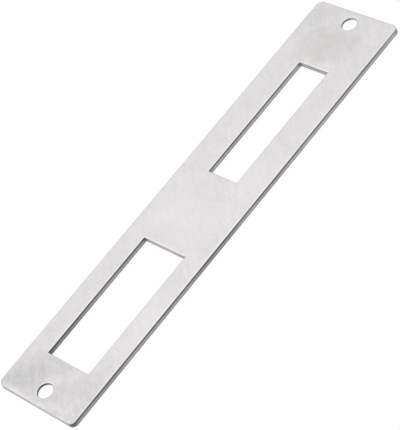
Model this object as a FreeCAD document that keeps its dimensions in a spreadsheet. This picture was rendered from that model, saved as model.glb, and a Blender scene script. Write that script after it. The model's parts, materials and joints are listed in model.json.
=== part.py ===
import FreeCAD, Part
import enum
import os
import Sketcher

# Door strike plate: one flat steel plate with two rectangular openings and two screw holes.
#
# The frame's origin is the centre of the plate's underside. +Y runs along the plate, from the
# latch end to the bolt end, and +Z is up through the thickness. The plate lies with its
# countersunk side down, so the plain side is the one seen from above.

# Driving sizes, in millimetres and degrees. The five stretches along the plate add up to its
# length, 170 mm: end margin, latch opening, web, bolt opening, end margin.
SIZES = {
    "plate_width": 34.0,
    "plate_thickness": 2.0,
    "corner_radius": 2.0,
    "latch_end_margin": 16.4,
    "latch_opening_length": 48.3,
    "latch_opening_width": 18.2,
    "web_length": 30.4,
    "bolt_opening_length": 49.4,
    "bolt_opening_width": 12.3,
    "bolt_end_margin": 25.5,
    "screw_hole_diameter": 5.4,
    "screw_hole_from_end": 5.3,
    "countersink_diameter": 7.6,
    "countersink_angle": 90.0,
    "upper_edge_radius": 0.2,
    "lower_edge_break": 0.1,
}

HALF_LENGTH = (
    "(Sizes.latch_end_margin + Sizes.latch_opening_length + Sizes.web_length"
    " + Sizes.bolt_opening_length + Sizes.bolt_end_margin) / 2"
)
SAME_PLACE = 1e-6


class Point(enum.IntEnum):
    """How a sketch numbers the points of a line or a circle."""

    START = 1
    END = 2
    CENTRE = 3


class Axis(enum.IntEnum):
    """How a sketch numbers its own two axes, which both start at its origin."""

    HORIZONTAL = -1
    VERTICAL = -2


ORIGIN = (Axis.HORIZONTAL, Point.START)


def add_sizes(document):
    """Put the driving sizes in a spreadsheet, one row each, with an alias for the value."""
    sheet = document.addObject("Spreadsheet::Sheet", "Sizes")
    for row, (alias, value) in enumerate(SIZES.items(), start=1):
        sheet.set(f"A{row}", alias)
        sheet.set(f"B{row}", str(value))
        sheet.setAlias(f"B{row}", alias)
    document.recompute()
    return sheet


def add_sketch(body, name):
    """A sketch in the plane of the plate's underside."""
    sketch = body.newObject("Sketcher::SketchObject", name)
    underside = next(item for item in body.Origin.OriginFeatures if item.Role == "XY_Plane")
    sketch.AttachmentSupport = [(underside, "")]
    sketch.MapMode = "FlatFace"
    return sketch


def constrain(sketch, name, expression, *definition):
    """Add a named dimension whose value follows the spreadsheet."""
    index = sketch.addConstraint(Sketcher.Constraint(*definition, 1.0))
    sketch.renameConstraint(index, name)
    sketch.setExpression(f"Constraints.{name}", expression)


def add_rectangle(sketch, width, length, placed_side, distance):
    """An upright rectangle centred on the vertical axis. Its placed side, lower or upper, lies
    at the given distance below or above the origin."""
    corners = [
        FreeCAD.Vector(-1, -1, 0),
        FreeCAD.Vector(1, -1, 0),
        FreeCAD.Vector(1, 1, 0),
        FreeCAD.Vector(-1, 1, 0),
    ]
    lower, right, upper, left = (
        sketch.addGeometry(Part.LineSegment(corner, corners[(number + 1) % 4]))
        for number, corner in enumerate(corners)
    )
    loop = [lower, right, upper, left, lower]
    for side, following in zip(loop, loop[1:]):
        joined = (side, Point.END, following, Point.START)
        sketch.addConstraint(Sketcher.Constraint("Coincident", *joined))
    sketch.addConstraint(Sketcher.Constraint("Horizontal", upper))
    for side in (right, left):
        sketch.addConstraint(Sketcher.Constraint("Vertical", side))
    sketch.addConstraint(
        Sketcher.Constraint("Symmetric", lower, Point.START, lower, Point.END, Axis.VERTICAL)
    )
    constrain(sketch, "width", width, "DistanceX", lower, Point.START, lower, Point.END)
    constrain(sketch, "length", length, "DistanceY", right, Point.START, right, Point.END)
    if placed_side == "lower":
        span = (lower, Point.START, *ORIGIN)
    else:
        span = (*ORIGIN, upper, Point.START)
    constrain(sketch, f"{placed_side}_side", distance, "DistanceY", *span)


def add_circle_on_axis(sketch, name, diameter):
    """A circle whose centre is on the vertical axis."""
    upward = FreeCAD.Vector(0, 0, 1)
    circle = sketch.addGeometry(Part.Circle(FreeCAD.Vector(0, 0, 0), upward, 1))
    sketch.addConstraint(Sketcher.Constraint("PointOnObject", circle, Point.CENTRE, Axis.VERTICAL))
    constrain(sketch, f"{name}_diameter", diameter, "Diameter", circle)
    return circle


def cut_through(body, sketch, name):
    """Cut the sketch's outline up through the whole thickness."""
    opening = body.newObject("PartDesign::Pocket", name)
    opening.Profile = sketch
    opening.Type = "ThroughAll"
    opening.Reversed = True
    return opening


def edge_names(feature, is_wanted):
    """Names of the feature's edges that the test picks."""
    edges = enumerate(feature.Shape.Edges, start=1)
    return [f"Edge{number}" for number, edge in edges if is_wanted(edge)]


def is_upright(edge):
    """Whether the edge runs straight up through the thickness."""
    return edge.BoundBox.XLength < SAME_PLACE and edge.BoundBox.YLength < SAME_PLACE


def is_at_height(edge, height):
    """Whether the whole edge lies at this height."""
    box = edge.BoundBox
    return abs(box.ZMin - height) < SAME_PLACE and abs(box.ZMax - height) < SAME_PLACE


def build_strike_plate(document, sheet):
    """The plate, as one body."""
    body = document.addObject("PartDesign::Body", "strike_plate")
    body.Label = "strike_plate"

    # Blank: a rectangle centred on the origin, as thick as the plate, with rounded corners
    outline = add_sketch(body, "outline")
    add_rectangle(outline, "Sizes.plate_width", f"2 * {HALF_LENGTH}", "lower", HALF_LENGTH)
    blank = body.newObject("PartDesign::Pad", "blank")
    blank.Profile = outline
    blank.setExpression("Length", "Sizes.plate_thickness")
    document.recompute()
    corners = body.newObject("PartDesign::Fillet", "corners")
    corners.Base = (blank, edge_names(blank, is_upright))
    corners.setExpression("Radius", "Sizes.corner_radius")

    # Latch opening: the wide one, set from the latch end of the plate
    latch_outline = add_sketch(body, "latch_outline")
    add_rectangle(
        latch_outline,
        "Sizes.latch_opening_width",
        "Sizes.latch_opening_length",
        "lower",
        f"{HALF_LENGTH} - Sizes.latch_end_margin",
    )
    cut_through(body, latch_outline, "latch_opening")

    # Bolt opening: the narrow one, set from the bolt end of the plate
    bolt_outline = add_sketch(body, "bolt_outline")
    add_rectangle(
        bolt_outline,
        "Sizes.bolt_opening_width",
        "Sizes.bolt_opening_length",
        "upper",
        f"{HALF_LENGTH} - Sizes.bolt_end_margin",
    )
    cut_through(body, bolt_outline, "bolt_opening")

    # Screw holes: one on the centre line near each end, countersunk from the underside
    centres = add_sketch(body, "screw_hole_centres")
    from_origin = f"{HALF_LENGTH} - Sizes.screw_hole_from_end"
    latch_hole = add_circle_on_axis(centres, "latch_hole", "Sizes.screw_hole_diameter")
    bolt_hole = add_circle_on_axis(centres, "bolt_hole", "Sizes.screw_hole_diameter")
    below = (latch_hole, Point.CENTRE, *ORIGIN)
    above = (*ORIGIN, bolt_hole, Point.CENTRE)
    constrain(centres, "latch_hole_place", from_origin, "DistanceY", *below)
    constrain(centres, "bolt_hole_place", from_origin, "DistanceY", *above)
    document.recompute()
    holes = body.newObject("PartDesign::Hole", "screw_holes")
    holes.Profile = centres
    holes.Reversed = True
    holes.DepthType = "ThroughAll"
    holes.HoleCutType = "Countersink"
    holes.setExpression("Diameter", "Sizes.screw_hole_diameter")
    holes.setExpression("HoleCutDiameter", "Sizes.countersink_diameter")
    holes.setExpression("HoleCutCountersinkAngle", "Sizes.countersink_angle")
    document.recompute()

    # Upper edges: rolled over a little, all round the plate, the openings and the holes
    upper_edges = body.newObject("PartDesign::Fillet", "upper_edges")
    top = sheet.plate_thickness
    upper_edges.Base = (holes, edge_names(holes, lambda edge: is_at_height(edge, top)))
    upper_edges.setExpression("Radius", "Sizes.upper_edge_radius")
    document.recompute()

    # Lower edges: broken round the plate and the openings, and left sharp at the countersinks,
    # whose rims are the only closed edges there
    lower_edges = body.newObject("PartDesign::Chamfer", "lower_edges")
    lower_edges.Base = (
        upper_edges,
        edge_names(upper_edges, lambda edge: is_at_height(edge, 0) and not edge.isClosed()),
    )
    lower_edges.setExpression("Size", "Sizes.lower_edge_break")
    body.Tip = lower_edges
    document.recompute()
    return body


def check(document, body):
    """Stop if anything failed, or if a feature that cuts took nothing away."""
    for item in document.Objects:
        if "Invalid" in item.State or "Error" in item.State:
            raise RuntimeError(f"{item.Name} failed: {item.State}")
    solids = [item for item in body.Group if item.isDerivedFrom("PartDesign::Feature")]
    for before, after in zip(solids, solids[1:]):
        if after.Shape.Volume >= before.Shape.Volume:
            raise RuntimeError(f"{after.Name} cut nothing")
    if body.Shape.isNull() or not body.Shape.isValid() or len(body.Shape.Solids) != 1:
        raise RuntimeError(f"{body.Label} is not one valid solid")


def main():
    os.makedirs("parts", exist_ok=True)
    document = FreeCAD.newDocument("DoorStrikePlate")
    sheet = add_sizes(document)
    body = build_strike_plate(document, sheet)
    check(document, body)
    body.Shape.exportStep(f"parts/{body.Label}.step")


main()
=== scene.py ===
import json
import math

import bmesh
import bpy
import numpy as np
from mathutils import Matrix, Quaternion, Vector, noise
from mathutils.geometry import delaunay_2d_cdt


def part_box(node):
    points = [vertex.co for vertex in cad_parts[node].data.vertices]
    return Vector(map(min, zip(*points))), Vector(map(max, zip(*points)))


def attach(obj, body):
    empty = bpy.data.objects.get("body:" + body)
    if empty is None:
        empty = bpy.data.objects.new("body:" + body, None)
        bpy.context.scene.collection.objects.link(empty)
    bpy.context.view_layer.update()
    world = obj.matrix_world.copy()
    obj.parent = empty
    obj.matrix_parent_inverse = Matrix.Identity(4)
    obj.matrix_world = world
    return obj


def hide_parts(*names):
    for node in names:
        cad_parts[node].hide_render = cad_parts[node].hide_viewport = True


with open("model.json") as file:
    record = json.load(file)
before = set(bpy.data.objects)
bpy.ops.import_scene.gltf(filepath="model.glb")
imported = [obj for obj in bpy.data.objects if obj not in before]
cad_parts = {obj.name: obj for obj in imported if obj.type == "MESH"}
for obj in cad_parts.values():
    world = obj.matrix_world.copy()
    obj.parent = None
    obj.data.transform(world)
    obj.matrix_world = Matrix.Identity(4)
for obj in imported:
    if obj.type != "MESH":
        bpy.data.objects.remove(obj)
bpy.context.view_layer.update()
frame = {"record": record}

# Door strike plate: a flat plate of satin brushed steel with sheared and punched edges.
#
# Lengths are in millimetres, as in the plate's own frame: X across the plate, Y along it from
# the latch end to the bolt end, Z up from the underside. They become metres in the mesh.
# Angles are in degrees.
MM = 0.001

# The plate's own sizes, from the frame
HALF_WIDTH, HALF_LENGTH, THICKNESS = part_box("strike_plate")[1] / MM
MOUNTS = {mount["name"]: mount["dims"] for mount in frame["record"]["mounts"]}
HOLE_RADIUS = MOUNTS["screw_holes"]["hole_r_mm"]
HOLE_SPACING = MOUNTS["screw_holes"]["spacing_y_mm"]
OPENINGS = {box["name"]: box["box_m"] for box in frame["record"]["physics"]["openings"]}
OPENING_BOX_CLEARANCE = 0.1  # the stated boxes keep this far from the openings' walls

CORNER_RADIUS = 2.0
PUNCH_CORNER_RADIUS = 0.12
COUNTERSINK_RADIUS = 3.8
COUNTERSINK_DEPTH = 1.1

# Section of a sheared edge, from the upper face down. The face droops a little, then rolls over
# into the wall. The wall is a smooth burnished land down to a wandering border, and below that
# a fracture zone, whose grain stands a little back into the metal.
DROOP = 0.035
DROOP_WIDTH = 0.9
DROOP_RINGS = (1.0, 0.6, 0.25)
ROLL_RADIUS = 0.2
ROLL_STEPS = 6
LAND_ROWS = 4
LAND_BOTTOM = 1.52
LAND_WANDER = 0.16
LAND_WAVES = ((0.7, 0.35), (0.3, 1.7))  # the share and the noise scale of each wave
FRACTURE_ROWS = 6
FRACTURE_ONSET = 3  # its grain and its look are complete a third of the way down it
FRACTURE_DEPTH = 0.02
FRACTURE_GRAIN = 2.3
LOWER_BREAK = 0.02
UNDERSIDE_RINGS = (0.1, 0.4)  # how far in from the edge's foot they lie
COUNTERSINK_RINGS = (0.08, 0.3)

# What each sheared edge has of its own: the seed of its noise, how far its corners reach, how
# far the shear dragged the metal down there, how much painted shade darkens the wall there, and
# how far walls that face along the plate are made paler by painted light
EDGES = {
    "outline": {
        "seed": 3.0,
        "corner_reach": 2.2,
        "corner_fall": 0.36,
        "corner_shade": 1.0,
        "crosswise_painted_light": 1.0,
    },
    "latch_opening": {
        "seed": 200.0,
        "corner_reach": 1.1,
        "corner_fall": 0.0,
        "corner_shade": 0.55,
        "crosswise_painted_light": 0.7,
    },
    "bolt_opening": {
        "seed": 300.0,
        "corner_reach": 1.1,
        "corner_fall": 0.0,
        "corner_shade": 0.55,
        "crosswise_painted_light": 0.45,
    },
}
ROW_SEED_STEP = 10
HOLE_PAINTED_LIGHT = 0.9  # the same painted light, at the foot of a screw hole's wall
EDGE_NARROWNESS = 10  # how squarely an edge has to face along the plate for that painted light
HOLE_NARROWNESS = 6
FALL_IN_DROOP = 0.25  # the share of the fall that the upper face takes part in

# Where the wall's look begins and is complete on the rolled edge, in degrees round it, and how
# much later that is on an edge that faces along the plate, and for each millimetre of fall
ROLL_POLISH = (20, 52)
CROSSWISE_POLISH_DELAY = 22
FALL_POLISH_DELAY = 90

# Spacing of the points along the edges, and of the points inside the two faces
EDGE_STEP = 0.5
FACE_STEP = 1.5
FACE_GAP = 0.6 * FACE_STEP  # how far the points inside the faces keep from the edges' rings
CORNER_STEPS = 14
PUNCH_CORNER_STEPS = 3
HOLE_STEPS = 96
SAME_PLACE = 1e-6
SHARP_ANGLE = 38  # faces that meet at more than this aren't shaded smoothly into each other


def rounded_rectangle(half_x, half_y, centre_y, radius, corner_steps):
    """Points of a rounded rectangle, anticlockwise, with their outward directions."""
    points = []
    outward = []
    corners = [(1, 1, 0), (-1, 1, 90), (-1, -1, 180), (1, -1, 270)]
    for sign_x, sign_y, start in corners:
        middle = np.array([sign_x * (half_x - radius), centre_y + sign_y * (half_y - radius)])
        for step in range(corner_steps + 1):
            angle = math.radians(start + 90 * step / corner_steps)
            direction = np.array([math.cos(angle), math.sin(angle)])
            point = middle + radius * direction
            if points and step == 0:
                add_straight(points, outward, point)
            points.append(point)
            outward.append(direction)
    add_straight(points, outward, points[0])
    return np.array(points), np.array(outward)


def add_straight(points, outward, end):
    """Add points spaced evenly along the straight side between the last point and this one."""
    start = points[-1]
    direction = outward[-1]
    count = max(1, round(float(np.linalg.norm(end - start)) / EDGE_STEP))
    for step in range(1, count):
        points.append(start + (end - start) * step / count)
        outward.append(direction)


def circle(radius, centre_y):
    """Points of a circle on the plate's centre line, with their outward directions."""
    angles = np.arange(HOLE_STEPS) * 2 * math.pi / HOLE_STEPS
    directions = np.stack([np.cos(angles), np.sin(angles)], axis=1)
    return directions * radius + np.array([0, centre_y]), directions


def inside_convex(points, ring):
    """Which points lie inside an anticlockwise convex ring."""
    sides = np.roll(ring, -1, axis=0) - ring
    away = points[:, None] - ring[None]
    turns = sides[None, :, 0] * away[:, :, 1] - sides[None, :, 1] * away[:, :, 0]
    return (turns > 0).all(axis=1)


def near_corners(points, reach):
    """How near each point of a ring is to one of its box's corners, from 0 to 1."""
    box_low, box_high = points.min(axis=0), points.max(axis=0)
    distance = np.full(len(points), np.inf)
    for x in (box_low[0], box_high[0]):
        for y in (box_low[1], box_high[1]):
            distance = np.minimum(distance, np.hypot(points[:, 0] - x, points[:, 1] - y))
    return np.exp(-((distance / reach) ** 2))


def crosswise_share(outward, narrowness):
    """How squarely each point of a ring faces along the plate, from 0 to 1."""
    return np.clip(1 - narrowness * (1 - np.abs(outward[:, 1])), 0, 1)


def wander(points, scale, seed):
    """Smooth random values from -1 to 1 along an edge."""
    return np.array([noise.noise(Vector((x * scale, y * scale, seed))) for x, y in points])


class PlateMesh:
    """Collects rings of points into one closed mesh, with marks for the material."""

    MARKS = ("arris", "lip", "cut", "fracture", "crosswise", "painted_corner_shade", "countersink")

    def __init__(self):
        self.points = []
        self.faces = []
        self.marks = []
        self.upper_rings = []
        self.lower_rings = []

    def ring(self, points, into_metal, offset, height, **marks):
        """A closed ring of points, moved into the metal by offset, at the given height."""
        count = len(points)
        offset = np.broadcast_to(offset, count)
        height = np.broadcast_to(height, count)
        flat = points + into_metal * offset[:, None]
        first = len(self.points)
        self.points.extend(np.column_stack([flat, height]))
        columns = [np.broadcast_to(marks.get(name, 0.0), count) for name in self.MARKS]
        self.marks.extend(np.column_stack(columns))
        return list(range(first, first + count))

    def join(self, rings):
        """Four-sided faces between each ring and the next."""
        for above, below in zip(rings, rings[1:]):
            count = len(above)
            for index in range(count):
                following = (index + 1) % count
                self.faces.append(
                    (above[index], above[following], below[following], below[index])
                )

    def upper_edge(self, points, into_metal, fall=0.0, **marks):
        """Rings from the upper face over the rolled edge, down to the top of the wall. The fall
        is how much lower the wall's top lies where the shear dragged the metal down."""
        droop = DROOP + FALL_IN_DROOP * fall
        roll_height = ROLL_RADIUS + fall - droop
        polish_begin, polish_end = ROLL_POLISH
        delay = CROSSWISE_POLISH_DELAY * marks.get("crosswise", 0.0) + FALL_POLISH_DELAY * fall
        rings = []
        for share in DROOP_RINGS:
            offset = ROLL_RADIUS + (DROOP_WIDTH - ROLL_RADIUS) * share
            height = THICKNESS - droop * (1 - share) ** 2
            rings.append(self.ring(points, into_metal, offset, height, arris=1 - share, **marks))
        for step in range(ROLL_STEPS + 1):
            degrees = 90 * step / ROLL_STEPS
            angle = math.radians(degrees)
            offset = ROLL_RADIUS * (1 - math.sin(angle))
            height = THICKNESS - droop - roll_height * (1 - math.cos(angle))
            cut = np.clip((degrees - polish_begin - delay) / (polish_end - polish_begin), 0, 1)
            edge = {"arris": 1.0, "cut": cut, **marks}
            rings.append(self.ring(points, into_metal, offset, height, **edge))
        self.upper_rings.append(rings[0])
        return rings

    def finish_edge(self, rings):
        """Join the rings of an edge, whose last one bounds the underside."""
        self.lower_rings.append(rings[-1])
        self.join(rings)

    def sheared_edge(self, name, points, into_metal):
        """A whole sheared edge, from the upper face to the underside."""
        own = EDGES[name]
        is_crosswise = crosswise_share(into_metal, EDGE_NARROWNESS)
        corners = near_corners(points, own["corner_reach"])
        # Marks for painted light: paler walls that face along the plate, lighter and darker rims,
        # and painted shade at the corners
        place = {
            "crosswise": own["crosswise_painted_light"] * is_crosswise,
            "lip": is_crosswise * np.sign(into_metal[:, 1]),
            "painted_corner_shade": own["corner_shade"] * corners,
        }
        fall = own["corner_fall"] * corners**2
        rings = self.upper_edge(points, into_metal, fall, **place)
        waves = sum(
            share * wander(points, scale, own["seed"] + number)
            for number, (share, scale) in enumerate(LAND_WAVES)
        )
        land_bottom = LAND_BOTTOM - fall + LAND_WANDER * waves
        land_top = THICKNESS - ROLL_RADIUS - fall
        for row in range(1, LAND_ROWS + 1):
            height = land_top + (land_bottom - land_top) * row / LAND_ROWS
            rings.append(self.ring(points, into_metal, 0, height, cut=1.0, **place))
        for row in range(1, FRACTURE_ROWS + 1):
            share = row / FRACTURE_ROWS
            tear = min(1, FRACTURE_ONSET * share)
            height = land_bottom + (LOWER_BREAK - land_bottom) * share
            grain = wander(points, FRACTURE_GRAIN, own["seed"] + ROW_SEED_STEP * row)
            offset = FRACTURE_DEPTH * (0.5 + 0.5 * grain) * tear
            torn = {"cut": 1.0, "fracture": tear, **place}
            rings.append(self.ring(points, into_metal, offset, height, **torn))
        foot = FRACTURE_DEPTH + LOWER_BREAK
        rings.append(self.ring(points, into_metal, foot, 0, **torn))
        for further in UNDERSIDE_RINGS:
            rings.append(self.ring(points, into_metal, foot + further, 0))
        self.finish_edge(rings)

    def screw_hole(self, centre_y):
        """A punched hole with a countersink in the underside."""
        points, outward = circle(HOLE_RADIUS, centre_y)
        is_crosswise = crosswise_share(outward, HOLE_NARROWNESS)
        # The hole's rims get the same painted light by the way they face
        rings = self.upper_edge(points, outward, lip=is_crosswise * np.sign(outward[:, 1]))
        land_top = THICKNESS - ROLL_RADIUS
        for row in range(1, LAND_ROWS + 1):
            height = land_top + (COUNTERSINK_DEPTH - land_top) * row / LAND_ROWS
            # Painted light makes the hole's wall paler where it faces along the plate, most at its
            # foot
            hole_painted_lightness = HOLE_PAINTED_LIGHT * is_crosswise * row / LAND_ROWS
            rings.append(self.ring(points, outward, 0, height, cut=1.0, crosswise=hole_painted_lightness))
        rim = COUNTERSINK_RADIUS - HOLE_RADIUS
        for row in range(1, FRACTURE_ROWS + 1):
            share = row / FRACTURE_ROWS
            height = COUNTERSINK_DEPTH * (1 - share)
            rings.append(self.ring(points, outward, rim * share, height, countersink=1.0))
        for further in COUNTERSINK_RINGS:
            rings.append(self.ring(points, outward, rim + further, 0))
        self.finish_edge(rings)

    def flat_face(self, rings, height):
        """Triangles over the flat metal that these rings bound, with points inside it. The first
        ring is the outer one."""
        owners = [index for ring in rings for index in ring]
        ring_numbers = [number for number, ring in enumerate(rings) for _ in ring]
        edge_points = np.array([self.points[index][:2] for index in owners])
        sides = []
        first = 0
        for ring in rings:
            count = len(ring)
            sides.extend((first + i, first + (i + 1) % count) for i in range(count))
            first += count
        across = np.arange(-HALF_WIDTH + FACE_STEP, HALF_WIDTH, FACE_STEP)
        along = np.arange(-HALF_LENGTH + FACE_STEP, HALF_LENGTH, FACE_STEP)
        grid = np.array([(x, y) for x in across for y in along])
        in_hole = np.zeros(len(grid), bool)
        for ring in rings[1:]:
            in_hole |= inside_convex(grid, np.array([self.points[index][:2] for index in ring]))
        gaps = np.linalg.norm(grid[:, None] - edge_points[None], axis=2).min(axis=1)
        inner = grid[~in_hole & (gaps > FACE_GAP)]
        flat = [Vector(point) for point in np.vstack([edge_points, inner])]
        inside_only = 1
        found, _, triangles, origins, _, _ = delaunay_2d_cdt(
            flat, sides, [], inside_only, SAME_PLACE
        )
        numbers = {}
        ring_of = {}
        for number, origin in enumerate(origins):
            if origin and origin[0] < len(owners):
                numbers[number] = owners[origin[0]]
                ring_of[number] = ring_numbers[origin[0]]
        for triangle in triangles:
            # A triangle with all its corners on the ring of one hole fills part of that hole
            touched = {ring_of.get(number, 0) for number in triangle}
            if len(touched) == 1 and touched != {0}:
                continue
            for number in triangle:
                if number not in numbers:
                    numbers[number] = len(self.points)
                    self.points.append(np.array([*found[number], height]))
                    self.marks.append(np.zeros(len(self.MARKS)))
            self.faces.append(tuple(numbers[number] for number in triangle))

    def to_object(self, name):
        """The finished mesh as an object, in metres, with all its faces pointing out."""
        mesh = bpy.data.meshes.new(name)
        mesh.from_pydata([tuple(point * MM) for point in self.points], [], self.faces)
        for column, mark in enumerate(self.MARKS):
            layer = mesh.attributes.new(mark, "FLOAT", "POINT")
            layer.data.foreach_set("value", [row[column] for row in self.marks])
        sculpt = bmesh.new()
        sculpt.from_mesh(mesh)
        bmesh.ops.recalc_face_normals(sculpt, faces=sculpt.faces)
        sculpt.to_mesh(mesh)
        sculpt.free()
        mesh.polygons.foreach_set("use_smooth", [True] * len(mesh.polygons))
        mesh.set_sharp_from_angle(angle=math.radians(SHARP_ANGLE))
        plate = bpy.data.objects.new(name, mesh)
        bpy.context.collection.objects.link(plate)
        weighted = plate.modifiers.new("weighted_normals", "WEIGHTED_NORMAL")
        weighted.keep_sharp = True
        return plate


def build_plate():
    """The whole plate as one closed mesh."""
    plate = PlateMesh()
    points, outward = rounded_rectangle(HALF_WIDTH, HALF_LENGTH, 0, CORNER_RADIUS, CORNER_STEPS)
    plate.sheared_edge("outline", points, -outward)
    for name, (low_corner, high_corner) in OPENINGS.items():
        half_x = high_corner[0] / MM + OPENING_BOX_CLEARANCE
        half_y = (high_corner[1] - low_corner[1]) / MM / 2 + OPENING_BOX_CLEARANCE
        centre_y = (high_corner[1] + low_corner[1]) / MM / 2
        points, outward = rounded_rectangle(
            half_x, half_y, centre_y, PUNCH_CORNER_RADIUS, PUNCH_CORNER_STEPS
        )
        plate.sheared_edge(name, points, outward)
    for end in (-1, 1):
        plate.screw_hole(end * HOLE_SPACING / 2)
    plate.flat_face(plate.upper_rings, THICKNESS)
    plate.flat_face(plate.lower_rings, 0)
    return plate.to_object("strike_plate_metal")


class Graph:
    """Adds nodes to the empty node tree of a material or a world."""

    def __init__(self, owner):
        owner.use_nodes = True
        self.tree = owner.node_tree
        self.tree.nodes.clear()

    def add(self, kind, sockets=None, **settings):
        """A node with these settings; a socket gets either a value or a link."""
        made = self.tree.nodes.new(kind)
        for name, value in settings.items():
            setattr(made, name, value)
        for key, value in (sockets or {}).items():
            socket = made.inputs[key]
            if isinstance(value, bpy.types.NodeSocket):
                self.tree.links.new(value, socket)
            else:
                socket.default_value = value
        return made

    def math(self, operation, *values):
        """The result of a sum on up to three values or sockets."""
        sockets = dict(enumerate(values))
        return self.add("ShaderNodeMath", sockets, operation=operation).outputs[0]

    def vector_math(self, operation, *values):
        """The vector that comes of up to three vectors or sockets."""
        sockets = dict(enumerate(values))
        return self.add("ShaderNodeVectorMath", sockets, operation=operation).outputs["Vector"]

    def ramp(self, value, start, end, low=0.0, high=1.0, **settings):
        """A number that goes from low to high while the value goes from start to end."""
        ends = {"From Min": start, "From Max": end, "To Min": low, "To Max": high}
        return self.add("ShaderNodeMapRange", {"Value": value, **ends}, **settings).outputs[0]

    def swing(self, texture, amount, middle):
        """The middle, moved up and down by an amount as a texture goes from 0 to 1."""
        return self.math("MULTIPLY_ADD", self.math("SUBTRACT", texture, 0.5), amount, middle)

    def blend(self, amount, first, second):
        """A number between two numbers."""
        sockets = {0: amount, 2: first, 3: second}
        return self.add("ShaderNodeMix", sockets, data_type="FLOAT").outputs[0]

    def mix(self, amount, first, second, blend_type="MIX"):
        """A colour between two colours, or the second blended with the first."""
        sockets = {0: amount, 6: first, 7: second}
        mixed = self.add("ShaderNodeMix", sockets, data_type="RGBA", blend_type=blend_type)
        return mixed.outputs[2]

    def multiply(self, first, second):
        """One colour times another."""
        return self.mix(1.0, first, second, "MULTIPLY")

    def grey(self, tone):
        """The grey of this tone."""
        return self.add("ShaderNodeCombineColor", {0: tone, 1: tone, 2: tone}).outputs[0]

    def mark(self, name):
        """One of the mesh's own marks."""
        return self.add("ShaderNodeAttribute", attribute_name=name).outputs["Fac"]

    def noise(self, place, scale, detail, roughness=0.5):
        """Noise from 0 to 1, about even at 0.5."""
        sockets = {"Vector": place, "Scale": scale, "Detail": detail, "Roughness": roughness}
        return self.add("ShaderNodeTexNoise", sockets).outputs[0]

    def stretched_noise(self, place, angle, length, width, seed, detail=2.0):
        """Noise drawn out along one direction in the plate's plane, from 0 to 1."""
        turned = self.add(
            "ShaderNodeVectorRotate",
            {"Vector": place, "Angle": -math.radians(angle)},
            rotation_type="Z_AXIS",
        ).outputs[0]
        scaled = self.add(
            "ShaderNodeMapping",
            {"Vector": turned, "Scale": (1 / length, 1 / width, 1.0), "Location": (seed, 0, 0)},
        ).outputs[0]
        return self.noise(scaled, 1.0, detail)


# Colours of the metal: the satin face, the cut walls and the turned countersinks. The cut walls
# are darker than the face by painted shade, which stands in for the dark surroundings that steep
# walls reflect; the burnished land and the fracture zone really differ in finish
STEEL = (0.663, 0.6495, 0.6555, 1.0)
OILY_TINT = (1.0, 1.012, 0.976, 1.0)
OILY_TINT_GAIN = 16.0
BURNISHED_IN_PAINTED_SHADE = (0.157, 0.153, 0.154, 1.0)
FRACTURED_IN_PAINTED_SHADE = (0.472, 0.462, 0.465, 1.0)
RUBBED = (0.37, 0.361, 0.364, 1.0)
# Painted light: the paler colour of walls that face along the plate
CROSSWISE_PAINTED_LIGHT = (0.603, 0.592, 0.597, 1.0)
MACHINED = (0.62, 0.61, 0.61, 1.0)

# Roughness, and what is added to that of the face by brush marks, stains and patches of painted
# light
FACE_ROUGHNESS = 0.30
BRUSH_ROUGHNESS = 0.10
STAIN_ROUGHNESS = 0.5
RIM_ROUGHNESS = 0.23
LAND_ROUGHNESS = 0.34
TORN_ROUGHNESS = 0.55
MACHINED_ROUGHNESS = 0.28
ANISOTROPY = 0.5

# Brush marks on the face: their direction, and the length, width and seed of each kind
GRAIN_ANGLE = 138.0
FINE_MARKS = (4.0, 0.10, 1.0)
MEDIUM_MARKS = (1.5, 0.46, 2.0)
MEDIUM_SHARE = 0.6
BROAD_MARKS = (8.0, 1.3, 3.0)
HAIRLINES = (14.0, 0.05, 4.0)

# The fine, medium and broad marks come and go in patches, by a noise with a gain and a base
# that falls off from the latch end
PATCHES = {"scale": 0.11, "detail": 2.0}
PATCH_GAIN = 2.0
PATCH_BASE_RAMP = (-78.0, -60.0)
PATCH_BASE = (0.05, -0.35)

# Noises without a direction
CLOUDS = {"scale": 0.06, "detail": 3.0}
MOTTLE = {"scale": 0.35, "detail": 4.0, "roughness": 0.7}

# How far each texture swings the tone of the face. The mottle grows towards both ends. Rims
# that face the latch end get a painted highlight, and those that face the bolt end painted
# shade.
BRUSH_SWING = 0.36
BROAD_SWING = 0.18
HAIRLINE_SWING = 0.08
CLOUD_SWING = 0.14
MOTTLE_SWING_RAMP = (50.0, 72.0)
MOTTLE_SWING = (0.13, 0.24)
LIP_PAINTED_LIGHT = 0.045

# Scratches: the direction and seed of each set, the length and width of the noise whose middle
# value they follow, and the patches in which they show
SCRATCHES = ((112.0, 5.0), (163.0, 6.0))
SCRATCH_NOISE = (18.0, 1.2)
SCRATCH_WIDTH = 0.012
SCRATCH_PATCHES = (25.0, 9.0)
SCRATCH_PATCH_SEED_STEP = 10
SCRATCH_PATCH_EDGE = (0.54, 0.66)
SCRATCH_DETAIL = 1.0
SCRATCH_TONE = -0.05
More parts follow.
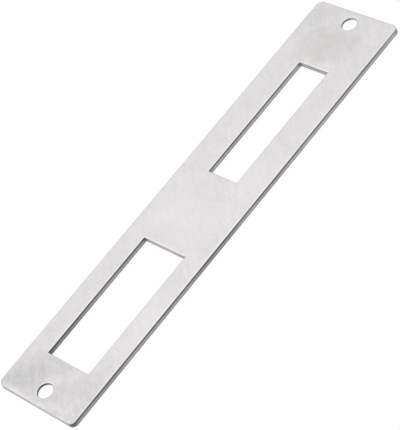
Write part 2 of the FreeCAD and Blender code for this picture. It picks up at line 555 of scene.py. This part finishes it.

# Each patch is a place, its two radii, the direction of the first, and a strength. On the face
# the strength is how much light the patch takes away, and a bright patch takes less than none.
# The oily ones are also tinted. Most of the face's patches are stains; those marked are painted
# shade and painted highlights, and two only darken the face towards both ends.
OILY_STAINS = (
    ((-2.2, 68.7), (9.8, 8.2), 30, 0.07),
    ((-9.5, 61.5), (5.0, 4.0), 60, 0.022),
    ((-4.0, -81.8), (6.5, 2.0), 0, 0.036),
)
STAINS_AND_PAINTED_LIGHT = (
    ((-8.8, -76.0), (9.5, 5.5), 48, 0.075),
    ((13.0, -72.0), (6.5, 6.0), 30, 0.045),
    # Painted shade along the rim on the latch-end side of the latch opening
    ((0.0, -68.3), (10.0, 1.9), 0, 0.09),
    # These two darken the face towards both ends
    ((4.0, -85.0), (28.0, 17.0), 0, 0.065),
    ((3.0, 82.0), (28.0, 20.0), 0, 0.032),
    ((0.0, 9.3), (7.0, 1.4), 0, 0.02),
    # Painted highlight along the rim at the latch end
    ((-1.0, -84.6), (18.0, 1.3), 0, -0.06),
    ((8.0, -83.0), (9.0, 1.8), 0, -0.045),
    ((-11.5, -81.5), (6.0, 2.5), 0, 0.015),
    ((-12.0, 79.0), (5.0, 4.0), 30, 0.045),
    # Painted highlight on the rim at the latch end, towards its -X corner
    ((-11.2, -84.4), (4.2, 1.4), 0, -0.06),
    ((-16.0, -82.6), (2.2, 2.2), 0, 0.035),
    ((-5.5, -83.0), (6.0, 1.8), 10, -0.04),
    ((-1.0, -75.6), (4.5, 2.2), 20, -0.045),
    ((-12.5, 9.0), (5.0, 3.0), 60, 0.025),
    ((-11.0, -6.0), (8.0, 5.0), 80, -0.03),
    ((-12.5, -17.0), (12.0, 3.5), 90, -0.016),
    ((13.0, -50.0), (12.0, 4.0), 90, -0.025),
    ((10.9, -62.0), (4.0, 3.5), 90, 0.03),
    ((-14.8, -61.5), (6.5, 2.2), 90, 0.03),
    ((2.2, -83.2), (4.5, 1.6), 0, -0.035),
    ((1.0, 61.2), (5.0, 1.5), 0, -0.04),
    ((3.0, 83.4), (4.0, 1.5), 0, -0.035),
    ((-9.5, 34.0), (8.0, 4.0), 80, -0.025),
    ((14.5, -12.5), (6.0, 2.5), 90, 0.025),
    ((11.0, 7.0), (9.0, 5.0), 80, -0.025),
    ((-4.0, -7.0), (9.0, 6.0), 60, -0.02),
    ((12.0, 80.0), (7.0, 5.5), 90, -0.035),
)

# The same on the cut walls, where those marked are painted light and painted shade, and how far
# the walls have the rubbed colour
WALL_STAINS_AND_PAINTED_LIGHT = (
    ((-9.1, -62.0), (12.0, 3.0), 90, 0.28),
    ((17.0, -13.0), (14.0, 3.0), 90, 0.20),
    ((17.0, -50.0), (11.0, 3.0), 90, -0.10),
    ((0.0, 80.0), (6.0, 6.0), 0, -0.40),
    ((0.0, -86.5), (24.0, 3.0), 0, -0.12),
    # Painted light on the wall at the latch end's -X corner, where it turns towards the lamp
    ((-15.6, -85.2), (2.2, 2.2), 0, -0.3),
    ((16.5, 83.0), (4.0, 4.5), 0, -0.30),
    ((-6.2, 58.5), (2.5, 3.0), 0, -0.15),
    ((1.5, 60.0), (7.0, 3.0), 0, 0.12),
    # Painted shade on the walls at the latch opening's corner on its -X, latch-end side
    ((-9.1, -68.0), (3.0, 3.0), 0, 0.15),
)
RUBBED_WALLS = (
    ((-6.2, 58.5), (3.6, 3.0), 90, 0.85),
    ((17.0, 80.0), (8.0, 3.0), 90, 0.55),
)

# Each patch fades in between these shares of its radii, has the same place all through the
# thickness, and has its border drawn out of shape by a noise
STAIN_FADE = (1.5, 0.2)
STAIN_HEIGHT = 1000.0
STAIN_DRIFT_NOISE = {"Scale": 0.12, "Detail": 3.0}
STAIN_DRIFT = (9.0, 9.0, 0.0)

# Cut walls: drag marks down the land, teeth where they meet the fracture zone, crystals in it,
# and what makes the wall lighter or darker from place to place, painted shade at the corners and
# at the foot among it
DRAG_STRETCH = (5.0, 5.0, 0.5)
DRAG_MARKS = {"scale": 1.0, "detail": 2.0}
CRYSTALS = {"scale": 7.0, "detail": 3.0, "roughness": 0.7}
TEETH = 0.9
FRACTURE_BORDER = (0.35, 0.75)
WALL_SWING = 0.5
WALL_CLOUDS = {"scale": 0.09, "detail": 2.0}
WALL_CLOUD_SWING = 0.5
WALL_TONES = (0.82, 1.10)  # at the latch end and at the bolt end
# Painted shade: the walls are darker near the corners of each edge
CORNER_PAINTED_SHADE = -0.5
# Painted shade: the lowest part of each wall, next to the floor, is darker
FOOT_SHADE_HEIGHT = 0.5
FOOT_PAINTED_SHADE = 0.5

# Countersinks: fine rings left by the tool, in radians for each millimetre of height
TOOL_RINGS = 55.0
TOOL_RING_TONE = 0.06

# Relief of the textures
BUMP_STRENGTH = 0.35
BUMP_DISTANCE = 0.01
BRUSH_RELIEF = 0.6
WALL_RELIEF = 2.0


def patch_amounts(graph, place, stains):
    """The strengths of these patches, added up."""
    noise_sockets = {"Vector": place, **STAIN_DRIFT_NOISE}
    drift = graph.add("ShaderNodeTexNoise", noise_sockets).outputs["Color"]
    shift = graph.vector_math("SUBTRACT", drift, (0.5, 0.5, 0.5))
    moved = graph.vector_math("MULTIPLY_ADD", shift, STAIN_DRIFT, place)
    total = 0.0
    for (x, y), (first, second), angle, strength in stains:
        local = graph.add(
            "ShaderNodeMapping",
            {
                "Vector": moved,
                "Location": (x, y, 0.0),
                "Rotation": (0, 0, math.radians(angle)),
                "Scale": (first, second, STAIN_HEIGHT),
            },
            vector_type="TEXTURE",
        ).outputs[0]
        far = graph.add("ShaderNodeVectorMath", {0: local}, operation="LENGTH").outputs["Value"]
        near = graph.ramp(far, *STAIN_FADE, 0.0, strength, interpolation_type="SMOOTHSTEP")
        total = graph.math("ADD", total, near)
    return total


def scratch_lines(graph, place, angle, seed):
    """Thin lines, about along one direction, in a few patches; 1 on a line."""
    streaks = graph.stretched_noise(place, angle, *SCRATCH_NOISE, seed, SCRATCH_DETAIL)
    from_line = graph.math("ABSOLUTE", graph.math("SUBTRACT", streaks, 0.5))
    line = graph.ramp(from_line, 0.0, SCRATCH_WIDTH, 1.0, 0.0)
    patch_seed = seed + SCRATCH_PATCH_SEED_STEP
    where = graph.stretched_noise(place, angle, *SCRATCH_PATCHES, patch_seed, SCRATCH_DETAIL)
    return graph.math("MULTIPLY", line, graph.ramp(where, *SCRATCH_PATCH_EDGE))


def face_tone(graph, place, along, brush, stains_and_painted_light):
    """How light the face is: brush marks, clouds, mottle, stains and patches of painted light,
    painted light on the rims, and scratches.
    """
    base = graph.ramp(along, *PATCH_BASE_RAMP, *PATCH_BASE)
    patches = graph.math("MULTIPLY_ADD", graph.noise(place, **PATCHES), PATCH_GAIN, base)
    from_middle = graph.math("ABSOLUTE", along)
    textures = (
        (brush, graph.math("MULTIPLY", patches, BRUSH_SWING)),
        (
            graph.stretched_noise(place, GRAIN_ANGLE, *BROAD_MARKS),
            graph.math("MULTIPLY", patches, BROAD_SWING),
        ),
        (graph.stretched_noise(place, GRAIN_ANGLE, *HAIRLINES), HAIRLINE_SWING),
        (graph.noise(place, **CLOUDS), CLOUD_SWING),
        (graph.noise(place, **MOTTLE), graph.ramp(from_middle, *MOTTLE_SWING_RAMP, *MOTTLE_SWING)),
    )
    tone = 1.0
    for texture, amount in textures:
        tone = graph.swing(texture, amount, tone)
    tone = graph.math("SUBTRACT", tone, stains_and_painted_light)
    # Painted light on the rims: lighter where they face the latch end, darker where they face the
    # bolt end
    arris = graph.mark("arris")
    lip = graph.math("MULTIPLY", graph.math("MULTIPLY", arris, arris), graph.mark("lip"))
    tone = graph.math("MULTIPLY_ADD", lip, LIP_PAINTED_LIGHT, tone)
    for angle, seed in SCRATCHES:
        lines = scratch_lines(graph, place, angle, seed)
        tone = graph.math("MULTIPLY_ADD", lines, SCRATCH_TONE, tone)
    return tone


def face_look(graph, place, along):
    """Colour, roughness and brush marks of the satin face."""
    fine = graph.stretched_noise(place, GRAIN_ANGLE, *FINE_MARKS)
    medium = graph.stretched_noise(place, GRAIN_ANGLE, *MEDIUM_MARKS)
    brush = graph.blend(MEDIUM_SHARE, fine, medium)
    oily = patch_amounts(graph, place, OILY_STAINS)
    stains_and_painted_light = graph.math("ADD", oily, patch_amounts(graph, place, STAINS_AND_PAINTED_LIGHT))
    colour = graph.multiply(STEEL, graph.grey(face_tone(graph, place, along, brush, stains_and_painted_light)))
    tint_share = graph.math("MULTIPLY", oily, OILY_TINT_GAIN)
    colour = graph.mix(tint_share, colour, graph.multiply(colour, OILY_TINT))
    roughness = graph.math("MULTIPLY_ADD", brush, BRUSH_ROUGHNESS, FACE_ROUGHNESS)
    roughness = graph.math("MULTIPLY_ADD", stains_and_painted_light, STAIN_ROUGHNESS, roughness)
    return colour, graph.blend(graph.mark("arris"), roughness, RIM_ROUGHNESS), brush


def wall_look(graph, place, along, height):
    """Colour, roughness and tone of the cut walls."""
    drag = graph.add("ShaderNodeMapping", {"Vector": place, "Scale": DRAG_STRETCH}).outputs[0]
    drag_marks = graph.noise(drag, **DRAG_MARKS)
    ragged = graph.swing(drag_marks, TEETH, graph.mark("fracture"))
    fracture = graph.ramp(ragged, *FRACTURE_BORDER)
    # Painted shade: the land and the fracture zone are far darker than the steel of the face
    colour = graph.mix(fracture, BURNISHED_IN_PAINTED_SHADE, FRACTURED_IN_PAINTED_SHADE)
    colour = graph.mix(patch_amounts(graph, place, RUBBED_WALLS), colour, RUBBED)
    # Painted light makes walls that face along the plate paler
    colour = graph.mix(graph.mark("crosswise"), colour, CROSSWISE_PAINTED_LIGHT)
    texture = graph.blend(fracture, drag_marks, graph.noise(place, **CRYSTALS))
    tone = graph.swing(texture, WALL_SWING, 1.0)
    # Painted shade darkens the walls near their corners and at their foot
    for share in (
        graph.ramp(along, -HALF_LENGTH, HALF_LENGTH, *WALL_TONES),
        graph.swing(graph.noise(place, **WALL_CLOUDS), WALL_CLOUD_SWING, 1.0),
        graph.math("MULTIPLY_ADD", graph.mark("painted_corner_shade"), CORNER_PAINTED_SHADE, 1.0),
        graph.math("SUBTRACT", 1.0, patch_amounts(graph, place, WALL_STAINS_AND_PAINTED_LIGHT)),
        graph.ramp(height, 0.0, FOOT_SHADE_HEIGHT, FOOT_PAINTED_SHADE, 1.0),
    ):
        tone = graph.math("MULTIPLY", tone, share)
    roughness = graph.blend(fracture, LAND_ROUGHNESS, TORN_ROUGHNESS)
    return graph.multiply(colour, graph.grey(tone)), roughness, tone


def countersink_look(graph, height):
    """Colour and tool rings of the countersinks."""
    rings = graph.math("SINE", graph.math("MULTIPLY", height, TOOL_RINGS))
    tone = graph.math("MULTIPLY_ADD", rings, TOOL_RING_TONE, 1.0)
    return graph.multiply(MACHINED, graph.grey(tone)), rings


def steel_material():
    """One steel, with satin faces, sheared walls and turned countersinks."""
    material = bpy.data.materials.new("brushed_steel")
    graph = Graph(material)
    in_metres = graph.add("ShaderNodeTexCoord").outputs["Object"]
    place = graph.vector_math("MULTIPLY", in_metres, (1 / MM,) * 3)
    axes = graph.add("ShaderNodeSeparateXYZ", {0: place}).outputs
    face, face_roughness, brush = face_look(graph, place, axes["Y"])
    wall, wall_roughness, wall_tone = wall_look(graph, place, axes["Y"], axes["Z"])
    turned, rings = countersink_look(graph, axes["Z"])

    cut = graph.mark("cut")
    countersink = graph.mark("countersink")
    colour = graph.mix(countersink, graph.mix(cut, face, wall), turned)
    roughness = graph.blend(cut, face_roughness, wall_roughness)
    roughness = graph.blend(countersink, roughness, MACHINED_ROUGHNESS)
    brush_relief = graph.math("MULTIPLY", brush, BRUSH_RELIEF)
    wall_relief = graph.math("MULTIPLY", wall_tone, WALL_RELIEF)
    relief = graph.blend(countersink, graph.blend(cut, brush_relief, wall_relief), rings)
    bump = graph.add(
        "ShaderNodeBump",
        {"Strength": BUMP_STRENGTH, "Distance": BUMP_DISTANCE * MM, "Height": relief},
    ).outputs[0]
    grain = math.radians(GRAIN_ANGLE)
    along_grain = graph.add(
        "ShaderNodeCombineXYZ", {0: math.cos(grain), 1: math.sin(grain), 2: 0.0}
    ).outputs[0]
    shader = graph.add(
        "ShaderNodeBsdfPrincipled",
        {
            "Base Color": colour,
            "Metallic": 1.0,
            "Roughness": roughness,
            "Anisotropic": ANISOTROPY,
            "Tangent": along_grain,
            "Normal": bump,
        },
    ).outputs[0]
    graph.add("ShaderNodeOutputMaterial", {"Surface": shader})
    return material


# Studio: a pale floor, a white surround and one large soft lamp
WHITE = (1, 1, 1, 1)
FLOOR_GAP = 0.02
FLOOR_SIZE = 6000
FLOOR_COLOUR = (0.9, 0.9, 0.9, 1.0)
FLOOR_WHITENESS = 0.8
FLOOR_GLOW = 1.12
AMBIENT = 0.62
LAMP_PLACE = Vector((-623, 316, 1000))
LAMP_WIDTH = 720
LAMP_HEIGHT = 400
LAMP_RADIANCE = 0.47

# Camera
CAMERA_PLACE = Vector((379.6, -196.1, 436.1))
CAMERA_AIM = Vector((1.19, -4.38, 0.0))
CAMERA_ROLL = -30.45
CAMERA_LENS = 160.67


def white_to_eye(graph):
    """1 for what the camera or a reflection sees, 0 for the light that falls on things."""
    path = graph.add("ShaderNodeLightPath").outputs
    seen = graph.math("ADD", path["Is Camera Ray"], path["Is Glossy Ray"])
    return graph.math("MINIMUM", graph.math("ADD", seen, path["Is Transmission Ray"]), 1.0)


def build_floor():
    """A wide pale floor just under the plate."""
    mesh = bpy.data.meshes.new("floor")
    half = FLOOR_SIZE / 2 * MM
    corners = [(-half, -half), (half, -half), (half, half), (-half, half)]
    mesh.from_pydata([(x, y, -FLOOR_GAP * MM) for x, y in corners], [], [(0, 1, 2, 3)])
    floor = bpy.data.objects.new("floor", mesh)
    bpy.context.collection.objects.link(floor)
    material = bpy.data.materials.new("pale_floor")
    graph = Graph(material)
    seen = graph.math("MULTIPLY", white_to_eye(graph), FLOOR_WHITENESS)
    lit = graph.add("ShaderNodeBsdfDiffuse", {"Color": FLOOR_COLOUR}).outputs[0]
    glow = {"Color": WHITE, "Strength": FLOOR_GLOW}
    white = graph.add("ShaderNodeEmission", glow).outputs[0]
    surface = graph.add("ShaderNodeMixShader", {0: seen, 1: lit, 2: white}).outputs[0]
    graph.add("ShaderNodeOutputMaterial", {"Surface": surface})
    mesh.materials.append(material)


def build_light():
    """A white surround and a soft lamp."""
    world = bpy.data.worlds.new("studio")
    bpy.context.scene.world = world
    graph = Graph(world)
    strength = graph.blend(white_to_eye(graph), AMBIENT, 1.0)
    surround = graph.add("ShaderNodeBackground", {"Color": WHITE, "Strength": strength})
    graph.add("ShaderNodeOutputWorld", {"Surface": surround.outputs[0]})
    lamp_data = bpy.data.lights.new("soft_lamp", "AREA")
    lamp_data.shape = "RECTANGLE"
    lamp_data.size = LAMP_WIDTH * MM
    lamp_data.size_y = LAMP_HEIGHT * MM
    lamp_data.energy = LAMP_RADIANCE * math.pi * lamp_data.size * lamp_data.size_y
    lamp = bpy.data.objects.new("soft_lamp", lamp_data)
    lamp.location = LAMP_PLACE * MM
    lamp.rotation_mode = "QUATERNION"
    lamp.rotation_quaternion = (-LAMP_PLACE).to_track_quat("-Z", "Y")
    bpy.context.collection.objects.link(lamp)


def build_camera():
    """The photograph's viewpoint."""
    data = bpy.data.cameras.new("camera")
    data.lens = CAMERA_LENS
    camera = bpy.data.objects.new("camera", data)
    camera.location = CAMERA_PLACE * MM
    camera.rotation_mode = "QUATERNION"
    aim = (CAMERA_AIM - CAMERA_PLACE).to_track_quat("-Z", "Y")
    camera.rotation_quaternion = aim @ Quaternion((0, 0, 1), math.radians(CAMERA_ROLL))
    bpy.context.collection.objects.link(camera)
    bpy.context.scene.camera = camera


plate = build_plate()
plate.data.materials.append(steel_material())
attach(plate, "root")
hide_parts("strike_plate")
build_floor()
build_light()
build_camera()
bpy.context.scene.view_settings.view_transform = "Standard"
